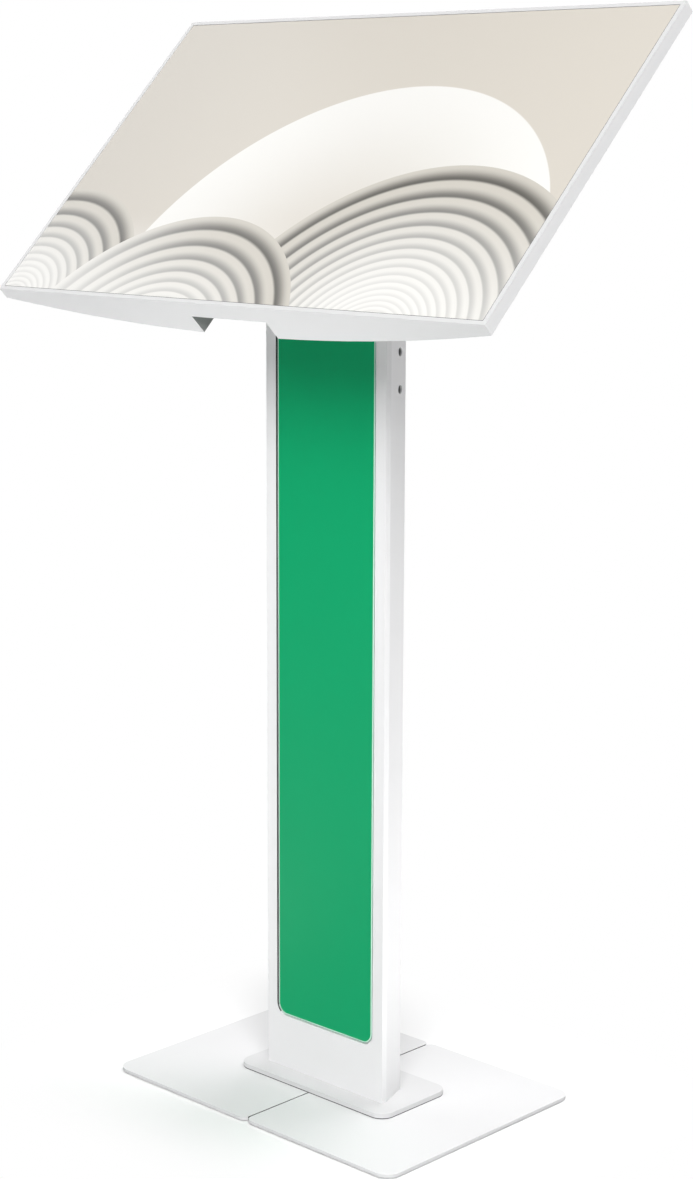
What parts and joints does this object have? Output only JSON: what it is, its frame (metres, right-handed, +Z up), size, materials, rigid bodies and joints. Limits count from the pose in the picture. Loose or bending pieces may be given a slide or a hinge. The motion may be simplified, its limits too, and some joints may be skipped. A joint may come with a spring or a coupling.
{
  "type": "display enclosure kiosk",
  "caption": "Floor-standing lockable display enclosure: slim tilting and turning screen housing on a sheet-metal column with insert panel, rear service door, foot plate and flat base plates.",
  "frame": {"origin": "on the floor, under the middle of the base plates, on the seam between them", "axes": "+Z up, the screen and the insert panel face -Y, +X to the right of a person facing the screen"},
  "size_m": [0.714, 0.3413, 1.2029],
  "materials": {
    "white_steel": "white powder coat",
    "white_aluminium": "white powder coat",
    "pad_rubber": "black rubber",
    "zinc_steel": "bright zinc",
    "green_panel": "satin green",
    "screen_glass": "clear cover glass over a lit picture",
    "display": "display module",
    "black_plastic": "black",
    "circuit_board": "green lacquer",
    "lock_chrome": "polished",
    "magnet": "nickel"
  },
  "bodies": {
    "stand": {"base_pads": "pad_rubber", "base_plate_left": "white_steel", "base_plate_right": "white_steel", "base_screws": "zinc_steel", "cable_grommets": "pad_rubber", "column_bottom_plate": "white_steel", "column_foot_screws": "zinc_steel", "column_front_frame": "white_steel", "column_front_lips": "white_steel", "column_rear_flanges": "white_steel", "column_side_left": "white_steel", "column_side_right": "white_steel", "column_top_plate": "white_steel", "door_hinge_pins": "zinc_steel", "foot_plate": "white_steel", "front_frame_screws": "zinc_steel", "lock_striker": "zinc_steel", "neck_bolts": "zinc_steel", "neck_bracket": "white_steel", "neck_nuts": "zinc_steel", "rear_panel_lower": "white_steel", "rear_panel_upper": "white_steel", "signage_tray": "white_steel", "tilt_nut": "zinc_steel", "tilt_pin": "zinc_steel", "tilt_spacer": "zinc_steel", "tilt_washers": "zinc_steel"},
    "insert": {"signage_panel": "green_panel", "signage_magnets": "magnet"},
    "door": {"rear_door": "white_steel", "lock_body": "lock_chrome", "lock_nut": "zinc_steel"},
    "lock_core": {"lock_plug": "lock_chrome", "lock_cam": "zinc_steel", "lock_cam_nut": "zinc_steel"},
    "yoke": {"tilt_yoke": "white_steel", "swivel_friction_ring": "black_plastic"},
    "head": {"vesa_plate": "zinc_steel", "vesa_screws": "zinc_steel", "swivel_pin": "zinc_steel", "swivel_washer": "zinc_steel", "swivel_nut": "zinc_steel", "swivel_stop_pin": "zinc_steel", "rear_cover": "white_aluminium", "cover_screws": "zinc_steel", "port_cover": "white_aluminium", "port_cover_screws": "zinc_steel", "front_frame": "white_aluminium", "frame_screws": "zinc_steel", "cover_glass": "screen_glass", "glass_gasket": "pad_rubber", "lcd_module": "display", "chassis_plate": "zinc_steel", "main_board": "circuit_board", "power_board": "circuit_board", "io_board": "circuit_board", "board_screws": "zinc_steel", "speakers": "black_plastic", "power_inlet": "black_plastic", "data_sockets": "black_plastic"}
  },
  "joints": [
    {"name": "head_tilt", "type": "hinge", "parent": "stand", "child": "yoke", "pos_m": [0, 0, 0.99], "axis": [1, 0, 0], "range_deg": [-25, 25]},
    {"name": "head_rotate", "type": "hinge", "parent": "yoke", "child": "head", "pos_m": [0, -0.01796, 1.03384], "axis": [0, -0.7071, 0.7071], "range_deg": [0, 90]},
    {"name": "door_swing", "type": "hinge", "parent": "stand", "child": "door", "pos_m": [-0.05, 0.011, 0.51], "axis": [0, 0, 1], "range_deg": [0, 105]},
    {"name": "lock_turn", "type": "hinge", "parent": "door", "child": "lock_core", "pos_m": [0.042, 0.01, 0.51], "axis": [0, 1, 0], "range_deg": [0, 90]},
    {"name": "signage_pull", "type": "slide", "parent": "stand", "child": "insert", "axis": [0, -1, 0], "range_m": [0, 0.03]}
  ]
}
